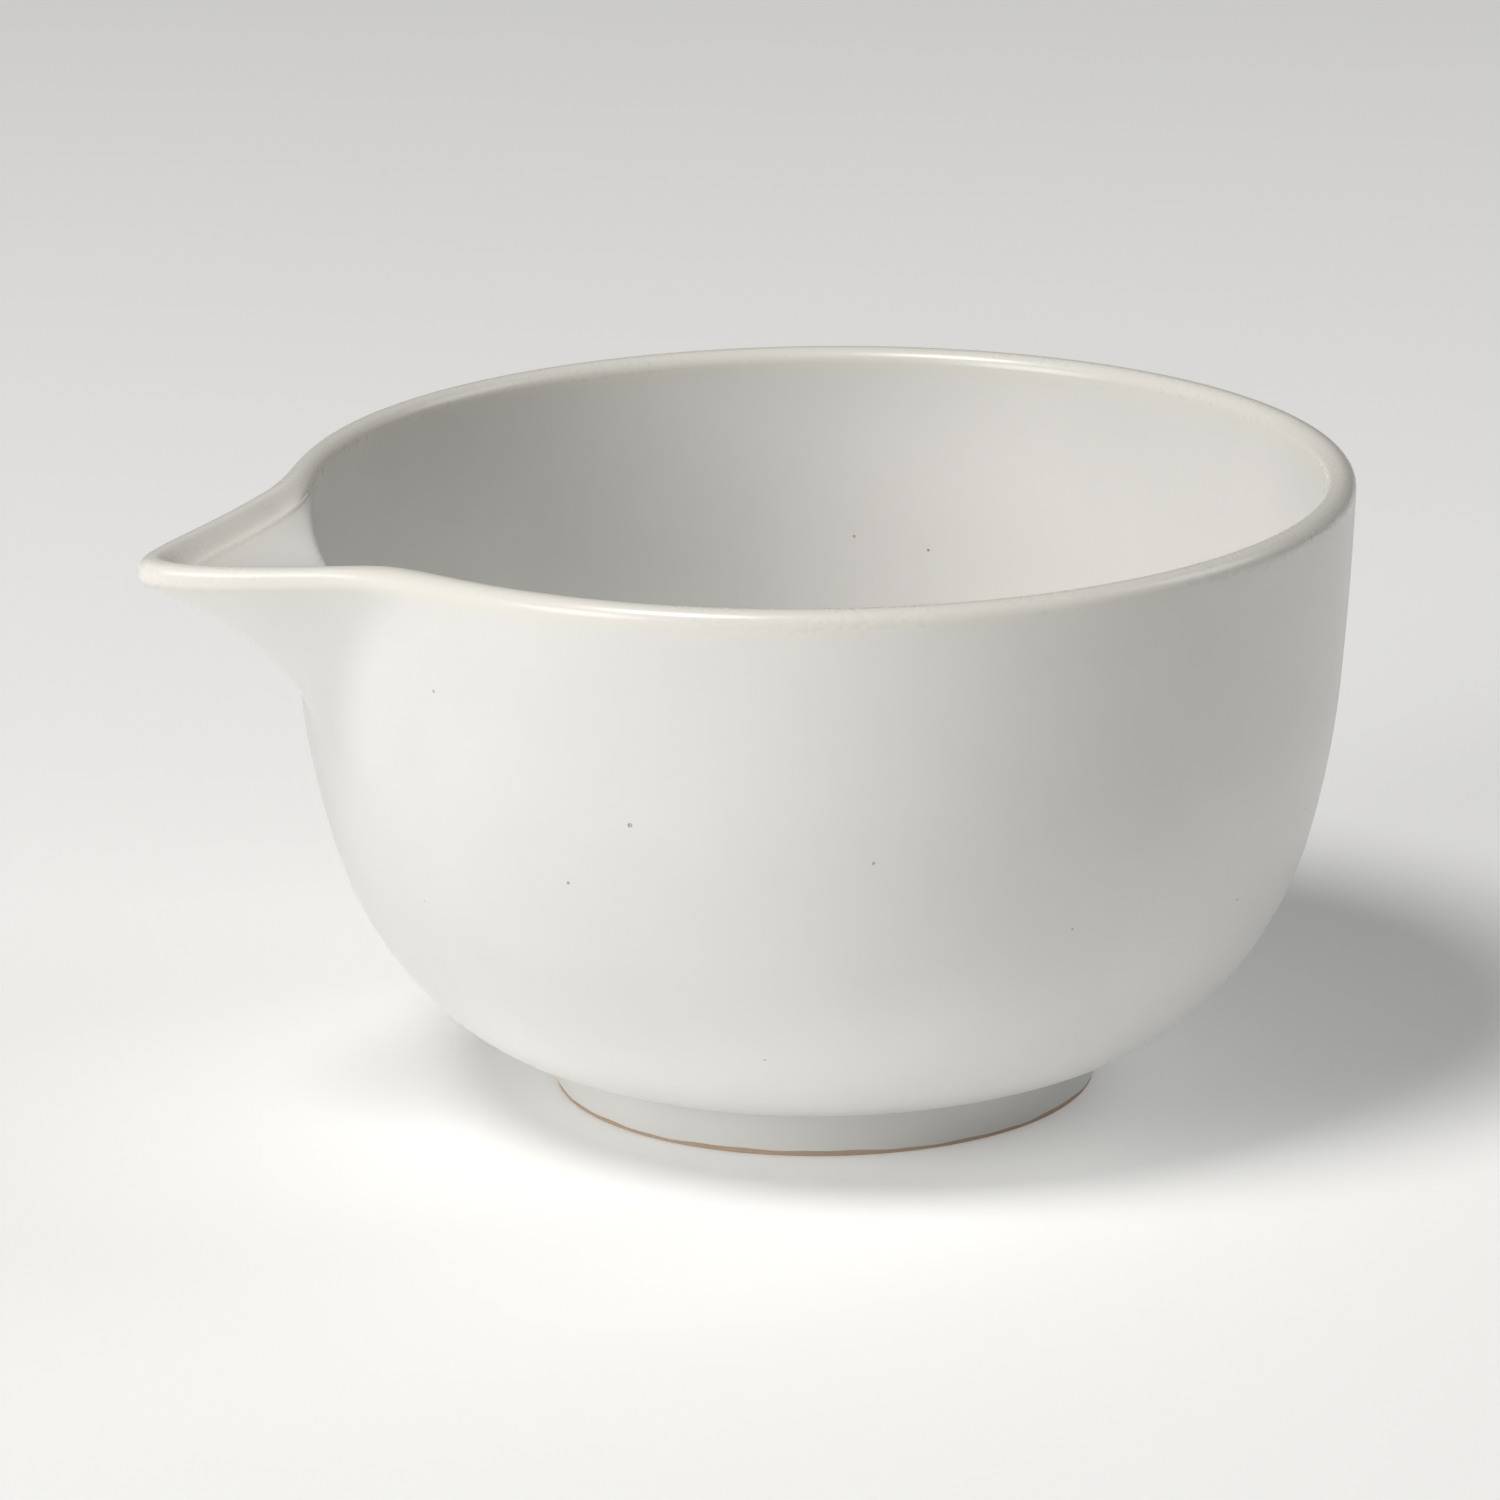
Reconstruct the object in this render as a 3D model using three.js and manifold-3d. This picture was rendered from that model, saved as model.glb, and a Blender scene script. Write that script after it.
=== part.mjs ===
// Spouted pouring bowl in white glazed stoneware: a round bowl, a beak-shaped pouring spout let
// into its rim, and a low foot ring. Millimetres, +Z up. The spout points along -X, and the
// origin is on the table, below the middle of the bowl's overall length.

import * as THREE from 'three';
import { mergeVertices } from 'three/addons/utils/BufferGeometryUtils.js';
import Module from 'manifold-3d';

const wasm = await Module();
wasm.setup();

const DEGREE = Math.PI / 180;

// The outside of the bowl is a chain of arcs, each one tangent to the last, from the middle of
// the base out and up to the rim. The steps are the facets outside and inside the wall.
const OUTSIDE_ARCS = [
  { name: 'base', radius: 198, turn: 9.4, stepsOut: 2, stepsIn: 2 },
  { name: 'heel', radius: 26.7, turn: 37.5, stepsOut: 6, stepsIn: 5 },
  { name: 'belly', radius: 41.8, turn: 27.3, stepsOut: 5, stepsIn: 5 },
  { name: 'wall', radius: 105, turn: 10.2, stepsOut: 3, stepsIn: 2 },
  { name: 'upper wall', radius: 426, turn: 3, stepsOut: 10, stepsIn: 20 },
];
const BASE_CLEARANCE = 2.83;
const FLOOR_THICKNESS = 4.6;
const LIP_THICKNESS = 3.5;
const LIP_STEPS = 6;
const WALL_TURNS = 60;
const TURN_CROWDING = 1.7;

// The spout. Reaches are measured from the bowl's axis. Each flank of the beak stands upright at
// SPOUT_FLANK from the axis. The keel is its lowest line outside: it leaves the wall in a curve
// that grows by e every KEEL_LENGTH of height.
const SPOUT_REACH = 81.2;
const SPOUT_FLANK = 51.1;
const SPOUT_TIP_ROUNDING = 3.2 * DEGREE;
const KEEL_SWELL = 25.9;
const KEEL_INSET = 5.8;
const KEEL_LENGTH = 14.5;
const KEEL_NOSE_BLEND = 1.5;
const OUTSIDE_FILLET_AT_RIM = 9;
const OUTSIDE_FILLET_BELOW = 3;
const OUTSIDE_FILLET_FADE = 16;

// The channel inside the spout is shallow, and its floor rises gently towards the tip.
const CHANNEL_FLANK = 45.6;
const CHANNEL_TIP_ROUNDING = 3 * DEGREE;
const CHANNEL_TIP_WALL = 6.2;
const CHANNEL_MOUTH_HEIGHT = 67.5;
const CHANNEL_MOUTH_REACH = 57.5;
const CHANNEL_SLOPE = 0.225;
const CHANNEL_NOSE_BLEND = 1.5;
const MOUTH_FILLET_AT_LIP = 9;
const MOUTH_FILLET_BELOW = 0.4;
const MOUTH_FILLET_FADE = 3;

// The rim dips a little round the spout, and the spout itself droops towards its tip, where the
// lip is thicker. The inner side of the spout's lip eases down into the channel.
const RIM_DIP = 0.8;
const RIM_DIP_HALF_WIDTH = 32 * DEGREE;
const RIM_DIP_START = 30;
const SPOUT_DROOP = 2.5;
const DROOP_EARLINESS = 0.6;
const TIP_LIP_SWELL = 0.25;
const LIP_EASE = 0.7;
const LIP_EASE_LENGTH = 5;

// The joint between bowl and spout is an oval cone with its point on the bowl's axis, so the
// two faces meet the wall squarely all round.
const JOINT_HALF_ANGLE = 25 * DEGREE;
const JOINT_DEPTH_RATIO = 0.8;
const JOINT_LENGTH = 100;
const JOINT_SETBACK = 0.75;
const JOINT_SEGMENTS = 40;

// The foot ring.
const FOOT_TOP_RADIUS = 32.3;
const FOOT_BOTTOM_RADIUS = 31.9;
const FOOT_INNER_RADIUS = 27.2;
const FOOT_EDGE_BEVEL = 0.5;
const FOOT_GAP = 0.3;
const FOOT_SEGMENTS = 72;
const FOOT_TOP_STEPS = 3;

const MERGE_DISTANCE = 1e-4;

// A chain of tangent arcs outside, or the same chain offset inwards by the wall's thickness.
function wallPoints(stepsKey, thicknessAt) {
  const points = [];
  let heading = 0;
  let radius = 0;
  let height = BASE_CLEARANCE;
  const total = OUTSIDE_ARCS.reduce((sum, arc) => sum + arc.turn, 0) * DEGREE;
  for (const arc of OUTSIDE_ARCS) {
    const centreR = radius - arc.radius * Math.sin(heading);
    const centreZ = height + arc.radius * Math.cos(heading);
    const steps = arc[stepsKey];
    const first = points.length === 0 ? 0 : 1;
    for (let i = first; i <= steps; i += 1) {
      const angle = heading + (arc.turn * DEGREE * i) / steps;
      const reach = arc.radius - thicknessAt(angle / total);
      points.push({ r: centreR + reach * Math.sin(angle), z: centreZ - reach * Math.cos(angle) });
    }
    heading += arc.turn * DEGREE;
    radius = centreR + arc.radius * Math.sin(heading);
    height = centreZ - arc.radius * Math.cos(heading);
  }
  points[0].r = 0;
  return points;
}

const smoothStep = (t) => THREE.MathUtils.smoothstep(t, 0, 1);
const wallThickness = (t) => THREE.MathUtils.lerp(FLOOR_THICKNESS, LIP_THICKNESS, smoothStep(t));

const outsideWall = wallPoints('stepsOut', () => 0);
const insideWall = wallPoints('stepsIn', wallThickness);
const rim = outsideWall[outsideWall.length - 1];
const BOWL_AXIS_X = (SPOUT_REACH - rim.r) / 2;

// The whole section, from the middle of the base round the lip to the middle of the floor.
// across is 0 outside, 1 inside, and runs from one to the other over the lip.
function shellSection() {
  const section = outsideWall.map((p) => ({ ...p, across: 0 }));
  const halfLip = LIP_THICKNESS / 2;
  for (let i = 1; i < LIP_STEPS; i += 1) {
    const angle = (Math.PI * i) / LIP_STEPS;
    section.push({
      r: rim.r - halfLip + halfLip * Math.cos(angle),
      z: rim.z + halfLip * Math.sin(angle),
      across: (1 - Math.cos(angle)) / 2,
    });
  }
  for (const p of [...insideWall].reverse()) {
    section.push({ ...p, across: 1 });
  }
  return section;
}

// The larger of two values, rounded off where they are within blend of each other.
function softMax(a, b, blend) {
  const near = Math.max(blend - Math.abs(a - b), 0) / blend;
  return Math.max(a, b) + (near ** 3 * blend) / 6;
}

const softMin = (a, b, blend) => -softMax(-a, -b, blend);

// How far from the bowl's axis a wedge-shaped beak reaches, at an angle from its middle line. Its
// edge is at keel, and its flanks pass the axis at the distance flank.
function beakReach(turn, keel, flank, rounding) {
  const halfAngle = Math.asin(flank / Math.max(keel, flank));
  const side = Math.hypot(turn, rounding) - rounding;
  return (keel * Math.sin(halfAngle)) / Math.sin(Math.min(side + halfAngle, Math.PI / 2));
}

function outsideReach(turn, wallRadius, height) {
  const swell = KEEL_SWELL * Math.exp((height - rim.z) / KEEL_LENGTH);
  const keel = softMin(SPOUT_REACH, wallRadius - KEEL_INSET + swell, KEEL_NOSE_BLEND);
  const beak = beakReach(turn, keel, SPOUT_FLANK, SPOUT_TIP_ROUNDING);
  const below = THREE.MathUtils.clamp((rim.z - height) / OUTSIDE_FILLET_FADE, 0, 1);
  return softMax(beak, wallRadius, THREE.MathUtils.lerp(OUTSIDE_FILLET_AT_RIM, OUTSIDE_FILLET_BELOW, below));
}

function channelReach(turn, wallRadius, height) {
  const floor = CHANNEL_MOUTH_REACH + (height - CHANNEL_MOUTH_HEIGHT) / CHANNEL_SLOPE;
  const keel = softMin(SPOUT_REACH - CHANNEL_TIP_WALL, floor, CHANNEL_NOSE_BLEND);
  const beak = beakReach(turn, keel, CHANNEL_FLANK, CHANNEL_TIP_ROUNDING);
  const nearLip = smoothStep((height - rim.z) / MOUTH_FILLET_FADE + 1);
  return softMax(beak, wallRadius, THREE.MathUtils.lerp(MOUTH_FILLET_BELOW, MOUTH_FILLET_AT_LIP, nearLip));
}

// Where a point of the section goes when it stands at an angle from the spout's middle line.
function pulledPoint({ r, z, across }, turn) {
  const height = Math.min(z, rim.z);
  const outside = outsideReach(turn, across === 0 ? r : rim.r, height);
  const inside = channelReach(turn, across === 1 ? r : rim.r - LIP_THICKNESS, height);
  const eased = smoothStep((outside - rim.r) / LIP_EASE_LENGTH);
  const reach = THREE.MathUtils.lerp(outside, inside, across ** (1 + LIP_EASE * eased));
  const pulled = THREE.MathUtils.clamp((reach - r) / (SPOUT_REACH - rim.r), 0, 1);
  const droop = SPOUT_DROOP * pulled * (1 + DROOP_EARLINESS * (1 - pulled));
  const dip = RIM_DIP * Math.exp(-((turn / RIM_DIP_HALF_WIDTH) ** 2));
  const lift = smoothStep((height - RIM_DIP_START) / (rim.z - RIM_DIP_START));
  const slope = (LIP_THICKNESS / 4) * (1 - Math.cos(2 * Math.PI * across));
  const lip = across > 0.5 && across < 1 ? THREE.MathUtils.lerp(z - height, slope, eased) : z - height;
  const top = height + lip * (1 + TIP_LIP_SWELL * pulled);
  return new THREE.Vector3(-reach * Math.cos(turn), -reach * Math.sin(turn), top - (dip + droop) * lift);
}

// The shell of bowl and spout in one: a lathe turned from the section, whose turns are crowded
// towards the spout, and whose rim is then pulled out into the beak.
function shellGeometry() {
  const section = shellSection();
  const profile = section.map((p) => new THREE.Vector2(p.r, p.z));
  const geometry = new THREE.LatheGeometry(profile, WALL_TURNS);
  const position = geometry.attributes.position;
  for (let i = 0; i < position.count; i += 1) {
    const point = section[i % section.length];
    const share = (2 * Math.floor(i / section.length)) / WALL_TURNS - 1;
    const turn = Math.PI * Math.sign(share) * Math.abs(share) ** TURN_CROWDING;
    const moved = point.r === 0 ? new THREE.Vector3(0, 0, point.z) : pulledPoint(point, turn);
    position.setXYZ(i, moved.x, moved.y, moved.z);
  }
  return geometry;
}

// The foot ring's section closes on itself. Its top follows the base of the bowl.
function footGeometry() {
  const base = OUTSIDE_ARCS[0].radius;
  const topAt = (r) => BASE_CLEARANCE + base - Math.sqrt(base ** 2 - r ** 2) - FOOT_GAP;
  const section = [
    new THREE.Vector2(FOOT_BOTTOM_RADIUS - FOOT_EDGE_BEVEL, 0),
    new THREE.Vector2(FOOT_BOTTOM_RADIUS, FOOT_EDGE_BEVEL),
  ];
  for (let i = 0; i <= FOOT_TOP_STEPS; i += 1) {
    const r = THREE.MathUtils.lerp(FOOT_TOP_RADIUS, FOOT_INNER_RADIUS, i / FOOT_TOP_STEPS);
    section.push(new THREE.Vector2(r, topAt(r)));
  }
  section.push(new THREE.Vector2(FOOT_INNER_RADIUS + FOOT_EDGE_BEVEL, 2 * FOOT_EDGE_BEVEL));
  section.push(new THREE.Vector2(FOOT_INNER_RADIUS + 2 * FOOT_EDGE_BEVEL, 0));
  section.push(section[0].clone());
  return new THREE.LatheGeometry(section, FOOT_SEGMENTS).rotateX(Math.PI / 2);
}

// The oval cone of the joint, set back from the axis for the bowl's side of the gap.
function jointCone(setback) {
  const radius = JOINT_LENGTH * Math.tan(JOINT_HALF_ANGLE);
  const cone = new THREE.ConeGeometry(radius, JOINT_LENGTH, JOINT_SEGMENTS);
  cone.translate(0, -JOINT_LENGTH / 2, 0);
  cone.rotateZ(-Math.PI / 2);
  cone.scale(1, 1, JOINT_DEPTH_RATIO);
  cone.translate(setback, 0, rim.z + LIP_THICKNESS / 2);
  return cone;
}

function toSolid(geometry) {
  const bare = geometry.clone();
  bare.deleteAttribute('normal');
  bare.deleteAttribute('uv');
  const merged = mergeVertices(bare, MERGE_DISTANCE);
  const index = merged.index.array;
  const triangles = [];
  for (let i = 0; i < index.length; i += 3) {
    const [a, b, c] = [index[i], index[i + 1], index[i + 2]];
    if (a !== b && b !== c && c !== a) {
      triangles.push(a, b, c);
    }
  }
  return new wasm.Manifold(new wasm.Mesh({
    numProp: 3,
    vertProperties: new Float32Array(merged.attributes.position.array),
    triVerts: new Uint32Array(triangles),
  }));
}

function toGeometry(solid) {
  const mesh = solid.getMesh();
  const geometry = new THREE.BufferGeometry();
  geometry.setAttribute('position', new THREE.BufferAttribute(mesh.vertProperties, 3));
  geometry.setIndex(new THREE.BufferAttribute(mesh.triVerts, 1));
  geometry.computeVertexNormals();
  return geometry;
}

function namedMesh(name, solid, material) {
  const mesh = new THREE.Mesh(toGeometry(solid), material);
  mesh.name = name;
  return mesh;
}

const glaze = () => new THREE.MeshStandardMaterial({ color: '#e6e3dc', roughness: 0.35, metalness: 0 });

function bowlBody(shell) {
  return namedMesh('bowl_body', shell.subtract(toSolid(jointCone(JOINT_SETBACK))), glaze());
}

function pouringSpout(shell) {
  return namedMesh('pouring_spout', shell.intersect(toSolid(jointCone(0))), glaze());
}

function footRing() {
  return namedMesh('foot_ring', toSolid(footGeometry()), glaze());
}

const shell = toSolid(shellGeometry());
const group = new THREE.Group();
group.add(bowlBody(shell), pouringSpout(shell), footRing());
group.position.set(BOWL_AXIS_X, 0, 0);

export default group;
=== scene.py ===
import math

import bmesh
import bpy
from mathutils import Matrix, Vector


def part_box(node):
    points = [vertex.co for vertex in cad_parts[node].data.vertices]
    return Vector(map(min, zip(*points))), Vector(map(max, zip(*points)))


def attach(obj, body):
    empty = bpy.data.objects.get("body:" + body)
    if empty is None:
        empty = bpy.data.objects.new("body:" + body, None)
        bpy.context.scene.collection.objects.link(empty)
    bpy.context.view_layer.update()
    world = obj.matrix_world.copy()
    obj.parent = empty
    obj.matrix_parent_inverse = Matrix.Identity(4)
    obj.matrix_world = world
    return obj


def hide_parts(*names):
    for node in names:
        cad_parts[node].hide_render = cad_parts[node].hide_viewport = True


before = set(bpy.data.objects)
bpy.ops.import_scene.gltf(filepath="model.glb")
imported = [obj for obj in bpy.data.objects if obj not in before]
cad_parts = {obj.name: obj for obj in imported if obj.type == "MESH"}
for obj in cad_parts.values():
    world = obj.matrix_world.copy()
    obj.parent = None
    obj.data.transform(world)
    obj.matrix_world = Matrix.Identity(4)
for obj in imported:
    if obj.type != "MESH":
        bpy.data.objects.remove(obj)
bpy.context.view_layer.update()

# A spouted pouring bowl in satin white glaze on a pale studio floor. Bowl and spout are turned
# as one section, whose rim is pulled out into the beak, and are then parted along their joint,
# so that the glaze runs over the joint without a step. The foot ring is a turning of its own.

MM = 0.001
DEGREE = math.pi / 180

# Places that come from the frame.
FOOT_LOW, FOOT_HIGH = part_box("foot_ring")
AXIS_X = (FOOT_LOW.x + FOOT_HIGH.x) / 2
BASE_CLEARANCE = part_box("bowl_body")[0].z
SPOUT_REACH = AXIS_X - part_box("pouring_spout")[0].x
FOOT_TOP_RADIUS = (FOOT_HIGH.x - FOOT_LOW.x) / 2

# The outside wall is a chain of tangent arcs: radius, angle turned through, and the spacing of
# the rows of faces along it.
OUTSIDE_ARCS = {
    "base": (198 * MM, 9.4 * DEGREE, 2.0 * MM),
    "heel": (26.7 * MM, 37.5 * DEGREE, 0.9 * MM),
    "belly": (41.8 * MM, 27.3 * DEGREE, 1.0 * MM),
    "wall": (105 * MM, 10.2 * DEGREE, 1.2 * MM),
    "upper wall": (426 * MM, 3.0 * DEGREE, 0.9 * MM),
}
WALL_TURN = sum(turn for _, turn, _ in OUTSIDE_ARCS.values())
FLOOR_THICKNESS = 4.6 * MM
LIP_THICKNESS = 3.5 * MM
LIP_ROWS = 20
TURN_COLUMNS = 320
TURN_CROWDING = 1.35
MERGE_DISTANCE = 0.001 * MM
POLE_RADIUS = 0.01 * MM
ROUNDING_ERROR = 1e-6

# The spout. Reaches are measured from the bowl's axis, and the flanks of the beak stand upright,
# each at a set distance from it.
SPOUT_FLANK = 51.1 * MM
SPOUT_TIP_ROUNDING = 3.2 * DEGREE
KEEL_SWELL = 25.9 * MM
KEEL_INSET = 5.8 * MM
KEEL_LENGTH = 14.5 * MM
KEEL_NOSE_BLEND = 1.5 * MM
OUTSIDE_FILLET_AT_RIM = 9 * MM
OUTSIDE_FILLET_BELOW = 3 * MM
OUTSIDE_FILLET_FADE = 16 * MM
CHANNEL_FLANK = 45.6 * MM
CHANNEL_TIP_ROUNDING = 3 * DEGREE
CHANNEL_TIP_WALL = 6.2 * MM
CHANNEL_MOUTH_HEIGHT = 67.5 * MM
CHANNEL_MOUTH_REACH = 57.5 * MM
CHANNEL_SLOPE = 0.225
CHANNEL_NOSE_BLEND = 1.5 * MM
MOUTH_FILLET_AT_LIP = 9 * MM
MOUTH_FILLET_BELOW = 1.2 * MM
MOUTH_FILLET_FADE = 3 * MM
RIM_DIP = 0.8 * MM
RIM_DIP_HALF_WIDTH = 32 * DEGREE
RIM_DIP_START = 30 * MM
SPOUT_DROOP = 2.5 * MM
DROOP_EARLINESS = 0.6
TIP_LIP_SWELL = 0.25

# The inner side of the spout's lip eases down into the channel.
LIP_EASE = 0.7
LIP_EASE_LENGTH = 5 * MM

# The wall round the spout has finer faces, and the joint runs inside them.
FINE_HALF_WIDTH = 33 * DEGREE
FINE_START = 46 * MM
FINE_CUTS = 2
JOINT_HALF_WIDTH = 27 * DEGREE
JOINT_HEIGHT = 50 * MM

# Where the glaze is thinned on the lip enough for the clay to warm it, and the width and strength of
# a warm, slightly darker line along the edge of the channel's mouth.
THIN_GLAZE_BELOW_RIM = 2.2 * MM
MOUTH_LINE_WIDTH = 0.9 * MM
MOUTH_LINE_STRENGTH = 0.6

# The foot ring, and the bare clay along its lower edge.
FOOT_BOTTOM_RADIUS = 31.9 * MM
FOOT_INNER_RADIUS = 27.3 * MM
FOOT_EDGE = 0.35 * MM
FOOT_FILLET = 0.9 * MM
FOOT_SINK = 0.5 * MM
BARE_CLAY_HEIGHT = 0.6 * MM
GLAZE_BEAD = 0.16 * MM
FOOT_COLUMNS = 240
CURVE_STEPS = 8

# How the glaze line wavers: the waves in one turn, each with its height and its start.
GLAZE_LINE_WAVES = {5: (0.1 * MM, 1), 13: (0.06 * MM, 0), 31: (0.04 * MM, 0)}


def softer_max(a, b, blend):
    """The larger of two values, rounded off where they are within blend of each other."""
    near = max(blend - abs(a - b), 0) / blend
    return max(a, b) + near**3 * blend / 6


def softer_min(a, b, blend):
    return -softer_max(-a, -b, blend)


def smooth_step(t):
    t = min(max(t, 0), 1)
    return t * t * (3 - 2 * t)


def between(a, b, share):
    return a + (b - a) * share


def wall_thickness(share):
    return between(FLOOR_THICKNESS, LIP_THICKNESS, smooth_step(share))


def wall_points(thickness_at):
    """The chain of arcs from the axis to the rim, offset inwards by the wall's thickness. Each
    point is (radius, height, share of the way to the rim)."""
    points = []
    heading, radius, height = 0, 0, BASE_CLEARANCE
    for arc_radius, turn, spacing in OUTSIDE_ARCS.values():
        centre_r = radius - arc_radius * math.sin(heading)
        centre_z = height + arc_radius * math.cos(heading)
        rows = round(arc_radius * turn / spacing)
        for i in range(1 if points else 0, rows + 1):
            angle = heading + turn * i / rows
            share = angle / WALL_TURN
            reach = arc_radius - thickness_at(share)
            r = centre_r + reach * math.sin(angle)
            points.append((r, centre_z - reach * math.cos(angle), share))
        heading += turn
        radius = centre_r + arc_radius * math.sin(heading)
        height = centre_z - arc_radius * math.cos(heading)
    points[0] = (0, points[0][1], 0)
    return points


OUTSIDE_WALL = wall_points(lambda share: 0)
INSIDE_WALL = wall_points(wall_thickness)
RIM_R, RIM_Z, _ = OUTSIDE_WALL[-1]
JOINT_SHARE = min(share for _, height, share in OUTSIDE_WALL if height > JOINT_HEIGHT)


def shell_section():
    """The section as (radius, height, across, share), from the base round the lip to the floor.
    Across is 0 outside and 1 inside."""
    half_lip = LIP_THICKNESS / 2
    section = [(r, z, 0, share) for r, z, share in OUTSIDE_WALL]
    for i in range(1, LIP_ROWS):
        angle = math.pi * i / LIP_ROWS
        r = RIM_R - half_lip + half_lip * math.cos(angle)
        section.append((r, RIM_Z + half_lip * math.sin(angle), (1 - math.cos(angle)) / 2, 1))
    section += [(r, z, 1, share) for r, z, share in reversed(INSIDE_WALL)]
    return section


def beak_reach(turn, keel, flank, rounding):
    """How far from the axis a beak reaches, at an angle from its middle line. Its edge is at
    keel, and its flanks pass the axis at the distance flank."""
    half_angle = math.asin(flank / max(keel, flank))
    side = math.hypot(turn, rounding) - rounding
    return keel * math.sin(half_angle) / math.sin(min(side + half_angle, math.pi / 2))


def outside_reach(turn, wall_radius, height):
    swell = KEEL_SWELL * math.exp((height - RIM_Z) / KEEL_LENGTH)
    keel = softer_min(SPOUT_REACH, wall_radius - KEEL_INSET + swell, KEEL_NOSE_BLEND)
    beak = beak_reach(turn, keel, SPOUT_FLANK, SPOUT_TIP_ROUNDING)
    below = min(max((RIM_Z - height) / OUTSIDE_FILLET_FADE, 0), 1)
    fillet = between(OUTSIDE_FILLET_AT_RIM, OUTSIDE_FILLET_BELOW, below)
    return softer_max(beak, wall_radius, fillet)


def channel_beak(turn, height):
    floor = CHANNEL_MOUTH_REACH + (height - CHANNEL_MOUTH_HEIGHT) / CHANNEL_SLOPE
    keel = softer_min(SPOUT_REACH - CHANNEL_TIP_WALL, floor, CHANNEL_NOSE_BLEND)
    return beak_reach(turn, keel, CHANNEL_FLANK, CHANNEL_TIP_ROUNDING)


def channel_reach(turn, wall_radius, height):
    near_lip = smooth_step((height - RIM_Z) / MOUTH_FILLET_FADE + 1)
    fillet = between(MOUTH_FILLET_BELOW, MOUTH_FILLET_AT_LIP, near_lip)
    return softer_max(channel_beak(turn, height), wall_radius, fillet)


def pulled_point(r, z, across, turn):
    """Where a point of the section goes when it stands at an angle from the spout."""
    height = min(z, RIM_Z)
    outside = outside_reach(turn, r if across == 0 else RIM_R, height)
    inside = channel_reach(turn, r if across == 1 else RIM_R - LIP_THICKNESS, height)
    eased = smooth_step((outside - RIM_R) / LIP_EASE_LENGTH)
    reach = between(outside, inside, across ** (1 + LIP_EASE * eased))
    pulled = min(max((reach - r) / (SPOUT_REACH - RIM_R), 0), 1)
    droop = SPOUT_DROOP * pulled * (1 + DROOP_EARLINESS * (1 - pulled))
    dip = RIM_DIP * math.exp(-((turn / RIM_DIP_HALF_WIDTH) ** 2))
    lift = smooth_step((height - RIM_DIP_START) / (RIM_Z - RIM_DIP_START))
    if 0.5 < across < 1:
        gentle = (1 - math.cos(2 * math.pi * across)) / 2
        z = between(z, RIM_Z + LIP_THICKNESS / 2 * gentle, eased)
    top = height + (z - height) * (1 + TIP_LIP_SWELL * pulled)
    x, y = AXIS_X - reach * math.cos(turn), reach * math.sin(turn)
    return Vector((x, y, top - (dip + droop) * lift))


def edge_warmth(r, z, across, turn):
    """How far the glaze has run off the lip, and how strongly a warm, slightly darker line marks the
    edge of the channel's mouth, from 0 to 1.
    """
    lip = smooth_step((z - RIM_Z) / THIN_GLAZE_BELOW_RIM + 1)
    if across < 1:
        return lip
    off_edge = (channel_beak(turn, z) - r) / MOUTH_LINE_WIDTH
    return max(lip, MOUTH_LINE_STRENGTH * math.exp(-(off_edge**2)))


def turn_of(vert):
    """The angle of a vertex from the spout's middle line."""
    return math.atan2(vert.co.y, -vert.co.x)


def turned(bm, verts, edges, columns):
    """A full spin about the axis of the world, with its seam and poles closed."""
    bmesh.ops.spin(bm, geom=verts + edges, cent=(0, 0, 0), axis=(0, 0, 1), dvec=(0, 0, 0),
                   angle=2 * math.pi, steps=columns, use_merge=True)
    bmesh.ops.remove_doubles(bm, verts=bm.verts, dist=MERGE_DISTANCE)


SECTION_LAYERS = ("radius", "height", "across", "share")
NORMAL_LAYERS = ("normal_x", "normal_y", "normal_z")


def turned_shell(bm):
    """The section turned about the axis, with its four values kept at every vertex."""
    layers = [bm.verts.layers.float.new(name) for name in SECTION_LAYERS]
    verts = []
    for point in shell_section():
        vert = bm.verts.new((-point[0], 0, point[1]))
        for layer, value in zip(layers, point):
            vert[layer] = value
        verts.append(vert)
    edges = [bm.edges.new(pair) for pair in zip(verts, verts[1:])]
    turned(bm, verts, edges, TURN_COLUMNS)
    for vert in bm.verts:
        turn = turn_of(vert)
        crowded = math.pi * math.copysign(abs(turn / math.pi) ** TURN_CROWDING, turn)
        r = math.hypot(vert.co.x, vert.co.y)
        vert.co.x, vert.co.y = -r * math.cos(crowded), r * math.sin(crowded)


def pull_spout(bm):
    """Makes finer faces round the spout, and moves every vertex to where the pulled rim takes it."""
    radius, height, across = [bm.verts.layers.float[name] for name in SECTION_LAYERS[:3]]
    warmth = bm.verts.layers.float.new("edge_warmth")
    sector = [edge for edge in bm.edges
              if all(abs(turn_of(vert)) < FINE_HALF_WIDTH and vert.co.z > FINE_START
                     for vert in edge.verts)]
    bmesh.ops.subdivide_edges(bm, edges=sector, cuts=FINE_CUTS, use_grid_fill=True)
    for vert in bm.verts:
        r, z, side = vert[radius], vert[height], vert[across]
        if r < POLE_RADIUS:
            vert.co.x = AXIS_X
            continue
        turn = turn_of(vert)
        vert[warmth] = edge_warmth(r, z, side, turn)
        vert.co = pulled_point(r, z, side, turn)
    bmesh.ops.recalc_face_normals(bm, faces=bm.faces)
    bm.normal_update()


def on_spout(face, share):
    """Whether a face lies on the spout's side of the joint."""
    centre = face.calc_center_median() - Vector((AXIS_X, 0, 0))
    turn = math.atan2(centre.y, -centre.x)
    above = min(vert[share] for vert in face.verts) >= JOINT_SHARE - ROUNDING_ERROR
    return above and abs(turn) < JOINT_HALF_WIDTH


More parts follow.
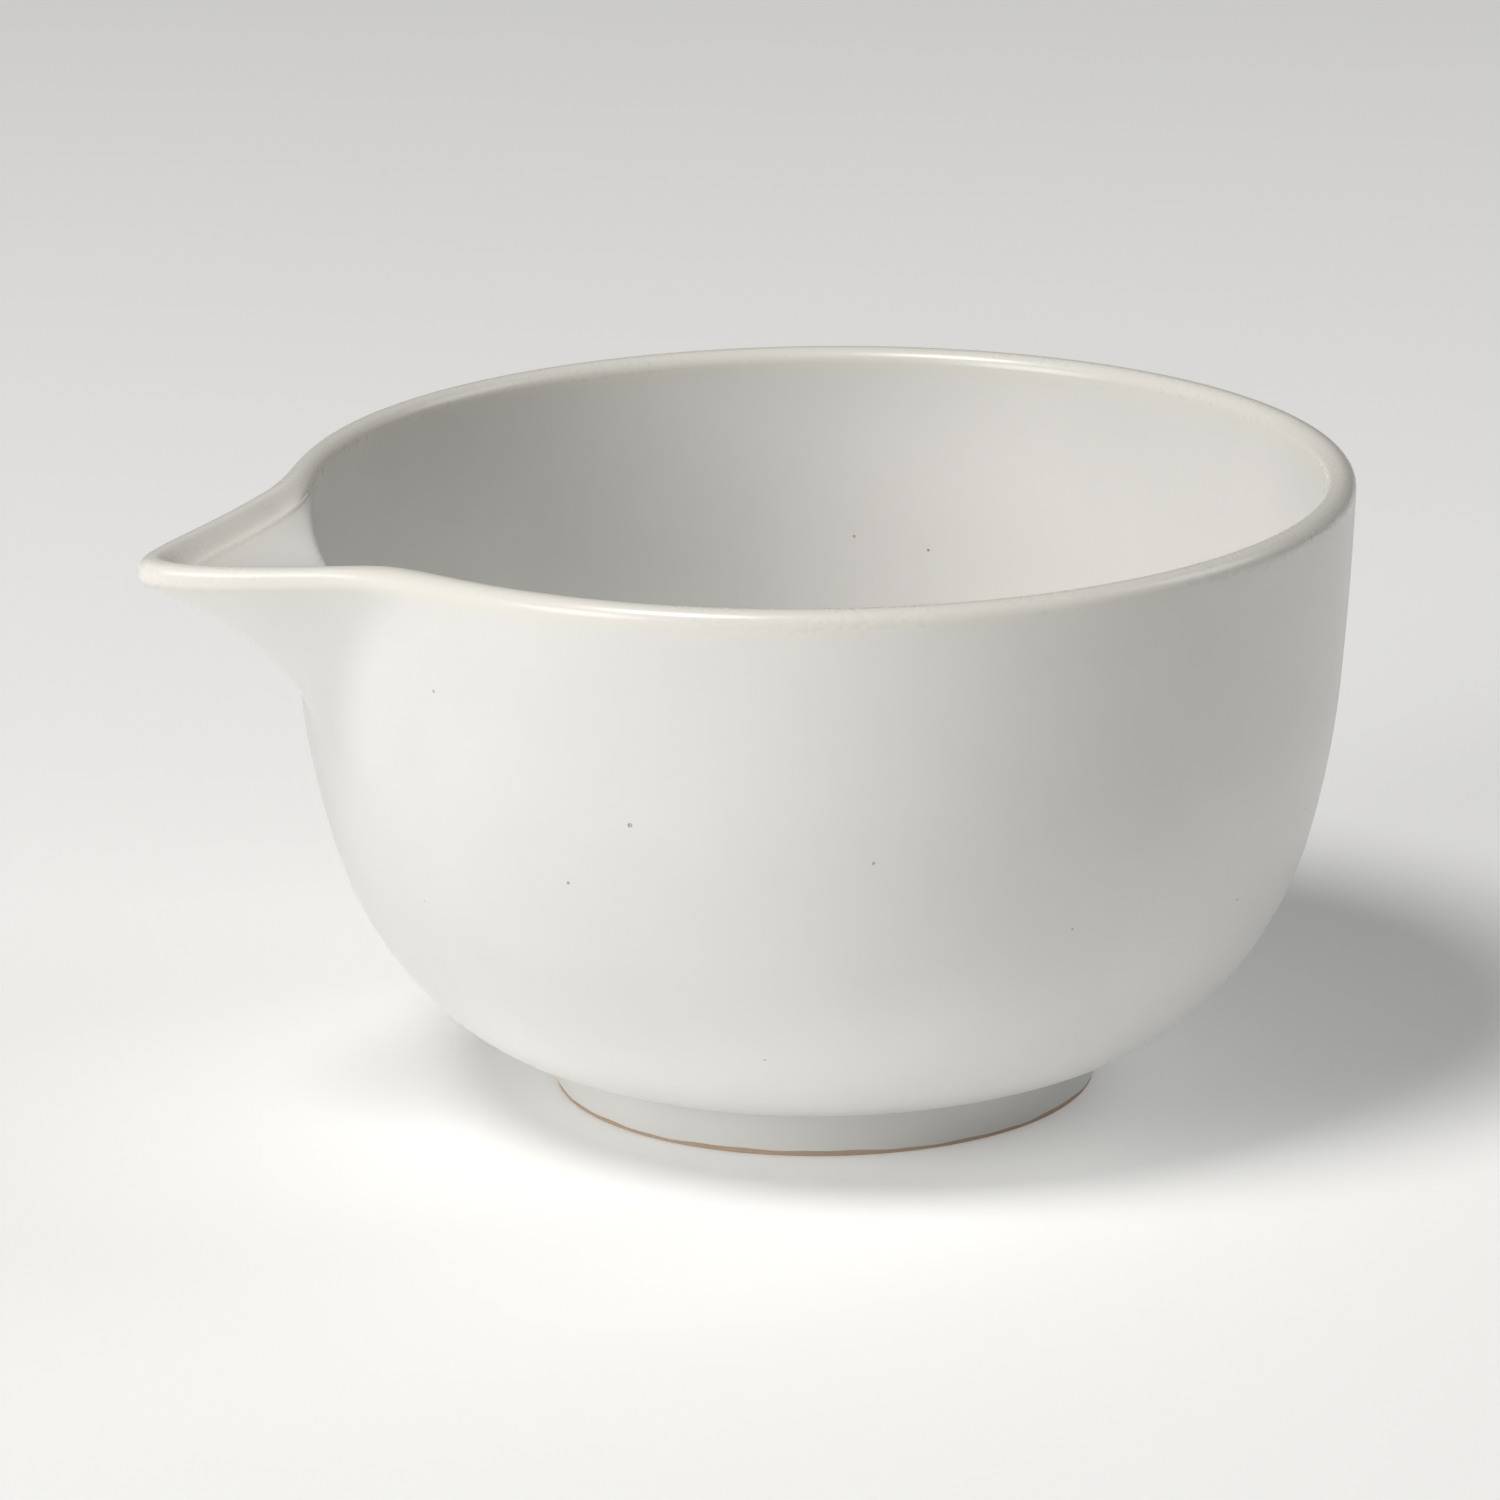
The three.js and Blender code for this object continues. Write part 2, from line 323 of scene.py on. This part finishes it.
def part_shell(keep_spout):
    """One side of the joint, closed across the thickness of the wall, with the normals that the
    whole shell has, so that the glaze shows no seam."""
    bm = bmesh.new()
    turned_shell(bm)
    pull_spout(bm)
    across, share = [bm.verts.layers.float[name] for name in SECTION_LAYERS[2:]]
    normal = [bm.verts.layers.float.new(name) for name in NORMAL_LAYERS]
    for vert in bm.verts:
        for layer, value in zip(normal, vert.normal):
            vert[layer] = value
    other = [face for face in bm.faces if on_spout(face, share) != keep_spout]
    bmesh.ops.delete(bm, geom=other, context="FACES")
    rim = [edge for edge in bm.edges if edge.is_boundary]
    outside = [edge for edge in rim if all(v[across] < ROUNDING_ERROR for v in edge.verts)]
    inside = [edge for edge in rim if all(v[across] > 1 - ROUNDING_ERROR for v in edge.verts)]
    bmesh.ops.bridge_loops(bm, edges=outside + inside)
    bmesh.ops.holes_fill(bm, edges=[edge for edge in bm.edges if edge.is_boundary], sides=0)
    bmesh.ops.recalc_face_normals(bm, faces=bm.faces)
    return bm


def finished(bm, name, materials):
    """A smooth-shaded object from a bmesh, at the origin, in the scene. It keeps the normals that
    the bmesh carries, if any, and drops the layers that only its making needed."""
    floats = bm.verts.layers.float
    layers = [floats[layer] for layer in NORMAL_LAYERS if layer in floats]
    kept = [[vert[layer] for layer in layers] for vert in bm.verts] if layers else None
    for layer in SECTION_LAYERS + NORMAL_LAYERS:
        if layer in floats:
            floats.remove(floats[layer])
    mesh = bpy.data.meshes.new(name)
    bm.to_mesh(mesh)
    bm.free()
    mesh.polygons.foreach_set("use_smooth", [True] * len(mesh.polygons))
    if kept:
        mesh.normals_split_custom_set_from_vertices(kept)
    for material in materials:
        mesh.materials.append(material)
    piece = bpy.data.objects.new(name, mesh)
    bpy.context.scene.collection.objects.link(piece)
    return piece


def curve_points(start, corner, end):
    """Points of a smooth bend that starts and ends along the two sides of a corner."""
    points = []
    for i in range(CURVE_STEPS + 1):
        t = i / CURVE_STEPS
        points.append(tuple((1 - t) ** 2 * a + 2 * t * (1 - t) * b + t * t * c
                            for a, b, c in zip(start, corner, end)))
    return points


def base_height(r):
    """The height of the bowl's underside at a radius within the base or the start of the heel."""
    radius, turn, _ = OUTSIDE_ARCS["base"]
    if r <= radius * math.sin(turn):
        return BASE_CLEARANCE + radius - math.sqrt(radius**2 - r**2)
    heel = OUTSIDE_ARCS["heel"][0]
    centre_r = (radius - heel) * math.sin(turn)
    centre_z = BASE_CLEARANCE + radius - (radius - heel) * math.cos(turn)
    return centre_z - math.sqrt(heel**2 - (r - centre_r) ** 2)


def foot_section():
    """The closed section of the foot ring: the face it stands on, the bare edge, the bead where
    the glaze stops, the upright side, and fillets that run out along the bowl's underside."""
    clay_out, clay_in = FOOT_BOTTOM_RADIUS - GLAZE_BEAD, FOOT_INNER_RADIUS + GLAZE_BEAD
    top_out, top_in = FOOT_TOP_RADIUS, FOOT_INNER_RADIUS
    bead_top = BARE_CLAY_HEIGHT + 2 * GLAZE_BEAD
    fillet_out, fillet_in = top_out + FOOT_FILLET, top_in - FOOT_FILLET
    points = curve_points((clay_out - FOOT_EDGE, 0), (clay_out, 0), (clay_out, FOOT_EDGE))
    points += curve_points((clay_out, BARE_CLAY_HEIGHT), (FOOT_BOTTOM_RADIUS, BARE_CLAY_HEIGHT),
                           (FOOT_BOTTOM_RADIUS, bead_top))
    points += curve_points((top_out, base_height(top_out) - FOOT_FILLET),
                           (top_out, base_height(top_out)), (fillet_out, base_height(fillet_out)))
    points.append((fillet_out - FOOT_SINK, base_height(fillet_out) + FOOT_SINK))
    points.append((fillet_in + FOOT_SINK, base_height(fillet_in) + FOOT_SINK))
    points += curve_points((fillet_in, base_height(fillet_in)), (top_in, base_height(top_in)),
                           (top_in, base_height(top_in) - FOOT_FILLET))
    points += curve_points((top_in, bead_top), (top_in, BARE_CLAY_HEIGHT),
                           (clay_in, BARE_CLAY_HEIGHT))
    points += curve_points((clay_in, FOOT_EDGE), (clay_in, 0), (clay_in + FOOT_EDGE, 0))
    return points


def glaze_line_lift(turn):
    """How the hand-wiped edge of the glaze wavers round the foot."""
    return sum(height * math.sin(waves * turn + start)
               for waves, (height, start) in GLAZE_LINE_WAVES.items())


def foot_mesh():
    bm = bmesh.new()
    verts = [bm.verts.new((-r, 0, z)) for r, z in foot_section()]
    edges = [bm.edges.new(pair) for pair in zip(verts, verts[1:] + verts[:1])]
    turned(bm, verts, edges, FOOT_COLUMNS)
    for face in bm.faces:
        face.material_index = int(face.calc_center_median().z < BARE_CLAY_HEIGHT)
    for vert in bm.verts:
        near_line = smooth_step(2 - abs(vert.co.z - BARE_CLAY_HEIGHT) / BARE_CLAY_HEIGHT * 2)
        vert.co.z += near_line * glaze_line_lift(turn_of(vert))
        vert.co.x += AXIS_X
    bmesh.ops.recalc_face_normals(bm, faces=bm.faces)
    return bm


MIX_FACTOR, MIX_A, MIX_B, MIX_RESULT = 0, 6, 7, 2


class Wire:
    """A socket of a material. Arithmetic on it adds Math nodes."""

    def __init__(self, tree, socket=None):
        self.tree = tree
        self.socket = socket

    def add(self, kind, settings=None, inputs=None, output=0):
        """A new node, with its settings made first and then its inputs set or linked."""
        node = self.tree.nodes.new(kind)
        for name, value in (settings or {}).items():
            setattr(node, name, value)
        for name, value in (inputs or {}).items():
            if isinstance(value, Wire):
                self.tree.links.new(value.socket, node.inputs[name])
            else:
                node.inputs[name].default_value = value
        return Wire(self.tree, node.outputs[output])

    def math(self, operation, *values):
        return self.add("ShaderNodeMath", {"operation": operation}, dict(enumerate(values)))

    def feed(self, shader, name):
        self.tree.links.new(self.socket, shader.inputs[name])

    def __add__(self, other):
        return self.math("ADD", self, other)

    def __radd__(self, other):
        return self.math("ADD", other, self)

    def __sub__(self, other):
        return self.math("SUBTRACT", self, other)

    def __rsub__(self, other):
        return self.math("SUBTRACT", other, self)

    def __mul__(self, other):
        return self.math("MULTIPLY", self, other)

    def __rmul__(self, other):
        return self.math("MULTIPLY", other, self)


def new_material(name, **constants):
    """A material, its shader with the given constants, and its Object coordinates."""
    material = bpy.data.materials.new(name)
    material.use_nodes = True
    shader = material.node_tree.nodes["Principled BSDF"]
    for socket, value in constants.items():
        shader.inputs[socket.replace("_", " ")].default_value = value
    place = Wire(material.node_tree).add("ShaderNodeTexCoord", output="Object")
    return material, shader, place


def noise(place, size, detail=2.0):
    """Noise from 0 to 1 whose blotches are about this size."""
    inputs = {"Vector": place, "Scale": 1 / size, "Detail": detail}
    return place.add("ShaderNodeTexNoise", None, inputs, "Fac")


def ramp(value, low, high):
    """0 below low, 1 above high, and smooth between them."""
    inputs = {"Value": value, "From Min": low, "From Max": high}
    return value.add("ShaderNodeMapRange", {"interpolation_type": "SMOOTHSTEP"}, inputs)


def colour_mix(share, a, b):
    inputs = {MIX_FACTOR: share, MIX_A: a, MIX_B: b}
    return share.add("ShaderNodeMix", {"data_type": "RGBA"}, inputs, MIX_RESULT)


def bumped(height, depth):
    return height.add("ShaderNodeBump", None, {"Height": height, "Strength": 1, "Distance": depth})


# The glaze. The depths of its relief are in millimetres.
GLAZE_WHITE = (0.80, 0.795, 0.77, 1)
GLAZE_DEEP = (0.77, 0.768, 0.745, 1)
GLAZE_WARM_EDGE = (0.80, 0.77, 0.70, 1)
PINHOLE_BROWN = (0.45, 0.42, 0.38, 1)
CLOUD_SIZE = 26 * MM
RIPPLE_SIZE = 9 * MM
PEEL_SIZE = 1.1 * MM
PINHOLE_SPACING = 4 * MM
PINHOLE_RADIUS = 0.2 * MM
PINHOLE_RARITY = (0.9, 0.91)
PINHOLE_FLAT = 0.5
PINHOLE_DEPTH = 0.15
PINHOLE_DARKNESS = 0.85
CLOUD_RANGE = (0.35, 0.7)
RIPPLE_DEPTH = 0.05
PEEL_DEPTH = 0.004
GLAZE_ROUGHNESS = 0.28

# Pinholes that stand out on the outside wall: angle from the spout, height, radius.
PINHOLES = [
    (51 * DEGREE, 47.5 * MM, 0.32 * MM),
    (43 * DEGREE, 39.5 * MM, 0.22 * MM),
    (27 * DEGREE, 59.5 * MM, 0.22 * MM),
    (64 * DEGREE, 18.0 * MM, 0.22 * MM),
    (20 * DEGREE, 32.5 * MM, 0.20 * MM),
]


def outside_place(turn, height):
    """The point of the outside wall at an angle from the spout and a height."""
    r = min(OUTSIDE_WALL, key=lambda point: abs(point[1] - height))[0]
    return (AXIS_X - r * math.cos(turn), -r * math.sin(turn), height)


def pinhole_mask(place):
    """1 inside a pinhole and 0 around it: a few placed ones, and rare scattered ones."""
    cells = {"Vector": place, "Scale": 1 / PINHOLE_SPACING}
    distance = place.add("ShaderNodeTexVoronoi", None, cells, "Distance")
    rare = place.add("ShaderNodeTexVoronoi", None, cells, "Color")
    rare = rare.add("ShaderNodeSeparateColor", None, {"Color": rare}, "Red")
    edge = PINHOLE_RADIUS / PINHOLE_SPACING
    mask = (1 - ramp(distance, PINHOLE_FLAT * edge, edge)) * ramp(rare, *PINHOLE_RARITY)
    for turn, height, radius in PINHOLES:
        inputs = {0: place, 1: outside_place(turn, height)}
        away = place.add("ShaderNodeVectorMath", {"operation": "DISTANCE"}, inputs, "Value")
        mask = mask + (1 - ramp(away, PINHOLE_FLAT * radius, radius))
    return mask


def satin_white_glaze():
    """Satin glaze: faint clouds of depth, a soft ripple, fine peel, a warm lip where the glaze runs
    off it, a warm, slightly darker line along the edge of the channel's mouth, pinholes.
    """
    material, shader, place = new_material("satin_white_glaze", IOR=1.5)
    warmth = place.add("ShaderNodeAttribute", {"attribute_name": "edge_warmth"}, None, "Fac")
    clouds = noise(place, CLOUD_SIZE, 4.0)
    peel = noise(place, PEEL_SIZE)
    pinholes = pinhole_mask(place)
    colour = colour_mix(ramp(clouds, *CLOUD_RANGE), GLAZE_WHITE, GLAZE_DEEP)
    # Warms the lip where its glaze runs off, and paints a warm, slightly darker line along the edge
    # of the channel's mouth.
    colour = colour_mix(warmth * (0.4 + 0.3 * clouds), colour, GLAZE_WARM_EDGE)
    colour = colour_mix(pinholes * PINHOLE_DARKNESS, colour, PINHOLE_BROWN)
    colour.feed(shader, "Base Color")
    (GLAZE_ROUGHNESS + 0.06 * clouds + 0.03 * peel - 0.05 * warmth).feed(shader, "Roughness")
    ripple = noise(place, RIPPLE_SIZE)
    height = RIPPLE_DEPTH * ripple + PEEL_DEPTH * peel - PINHOLE_DEPTH * pinholes
    bumped(height, 1 * MM).feed(shader, "Normal")
    return material


# The bare clay.
CLAY_TAN = (0.50, 0.36, 0.25, 1)
CLAY_PALE = (0.62, 0.50, 0.38, 1)
CLAY_GRAIN_SIZE = 0.25 * MM
CLAY_PATCH_SIZE = 3 * MM
CLAY_GRAIN_DEPTH = 0.06 * MM
CLAY_ROUGHNESS = 0.8


def bare_clay():
    """Unglazed stoneware: tan, matt and grainy, paler in patches where it has been wiped."""
    material, shader, place = new_material("bare_clay", IOR=1.45)
    grain = noise(place, CLAY_GRAIN_SIZE, 3.0)
    patches = noise(place, CLAY_PATCH_SIZE)
    colour_mix(0.6 * grain + 0.4 * patches, CLAY_TAN, CLAY_PALE).feed(shader, "Base Color")
    (CLAY_ROUGHNESS + 0.15 * grain).feed(shader, "Roughness")
    bumped(grain, CLAY_GRAIN_DEPTH).feed(shader, "Normal")
    return material


def make_pieces():
    glaze, clay = satin_white_glaze(), bare_clay()
    pieces = {
        "bowl_body": finished(part_shell(False), "glazed_bowl", [glaze]),
        "pouring_spout": finished(part_shell(True), "glazed_spout", [glaze]),
        "foot_ring": finished(foot_mesh(), "glazed_foot", [glaze, clay]),
    }
    for node, piece in pieces.items():
        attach(piece, "root")
        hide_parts(node)


# The camera looks along a line through the bowl's axis, and its aim is a little to the left.
CAMERA_AZIMUTH = -18.0 * DEGREE
CAMERA_ELEVATION = 16.36 * DEGREE
CAMERA_ROLL = -0.75 * DEGREE
CAMERA_DISTANCE = 1.0185
FIELD_WIDTH = 0.17544
SENSOR_WIDTH = 36
VIEW_LIMIT = 50
AIM_SIDEWAYS = -8.33 * MM
AIM_HEIGHT = 39.44 * MM


def camera():
    """A long lens that looks slightly down on the bowl, from the spout's side."""
    data = bpy.data.cameras.new("camera")
    data.sensor_width = SENSOR_WIDTH
    data.lens = SENSOR_WIDTH * CAMERA_DISTANCE / FIELD_WIDTH
    data.clip_end = VIEW_LIMIT
    eye = bpy.data.objects.new("camera", data)
    bpy.context.scene.collection.objects.link(eye)
    right = Vector((math.cos(CAMERA_AZIMUTH), math.sin(CAMERA_AZIMUTH), 0))
    back = Vector((math.sin(CAMERA_AZIMUTH) * math.cos(CAMERA_ELEVATION),
                   -math.cos(CAMERA_AZIMUTH) * math.cos(CAMERA_ELEVATION),
                   math.sin(CAMERA_ELEVATION)))
    level = Matrix((right, back.cross(right), back)).transposed()
    aim = Vector((AXIS_X, 0, AIM_HEIGHT)) + right * AIM_SIDEWAYS
    turn = (level @ Matrix.Rotation(CAMERA_ROLL, 3, "Z")).to_4x4()
    eye.matrix_world = Matrix.Translation(aim + back * CAMERA_DISTANCE) @ turn
    bpy.context.scene.camera = eye


# Lights: how far round from the camera, elevation, distance, diameter, watts and colour.
LIGHTS = {
    "key": (-50 * DEGREE, 62 * DEGREE, 1.8, 0.7, 20, (1, 0.985, 0.96)),
    "low key": (-52 * DEGREE, 20 * DEGREE, 1.8, 0.9, 13, (1, 0.985, 0.96)),
    "rim": (102 * DEGREE, 38 * DEGREE, 1.8, 0.9, 5, (1, 1, 1)),
}
WORLD_STRENGTH = 0.02
FLOOR_GLOW = 0.2
FLOOR_RADIUS = 4
FLOOR_PALE = (0.86, 0.86, 0.855, 1)
FLOOR_ROUGHNESS = 0.9
FLOOR_SIDES = 96
WHITE = (1, 1, 1, 1)


def area_light(name, beside, elevation, distance, size, watts, colour):
    data = bpy.data.lights.new(name, "AREA")
    data.shape = "DISK"
    data.size = size
    data.energy = watts
    data.color = colour
    light = bpy.data.objects.new(name, data)
    angle = CAMERA_AZIMUTH + beside
    direction = Vector((math.sin(angle) * math.cos(elevation),
                        -math.cos(angle) * math.cos(elevation), math.sin(elevation)))
    light.location = Vector((AXIS_X, 0, AIM_HEIGHT)) + direction * distance
    light.rotation_euler = direction.to_track_quat("Z", "Y").to_euler()
    bpy.context.scene.collection.objects.link(light)


def studio():
    """The lights, the dim world, and tones shown as they are."""
    for name, values in LIGHTS.items():
        area_light(name, *values)
    world = bpy.data.worlds.new("studio")
    world.use_nodes = True
    background = world.node_tree.nodes["Background"]
    background.inputs["Color"].default_value = WHITE
    background.inputs["Strength"].default_value = WORLD_STRENGTH
    bpy.context.scene.world = world
    bpy.context.scene.view_settings.view_transform = "Standard"


def floor():
    """A pale disc that glows faintly, as a lit shooting table does."""
    bm = bmesh.new()
    bmesh.ops.create_circle(bm, cap_ends=True, segments=FLOOR_SIDES, radius=FLOOR_RADIUS)
    paint, _, _ = new_material("floor", Base_Color=FLOOR_PALE, Roughness=FLOOR_ROUGHNESS,
                               Emission_Color=FLOOR_PALE, Emission_Strength=FLOOR_GLOW)
    paint.cycles.emission_sampling = "NONE"
    finished(bm, "floor", [paint])


camera()
make_pieces()
floor()
studio()
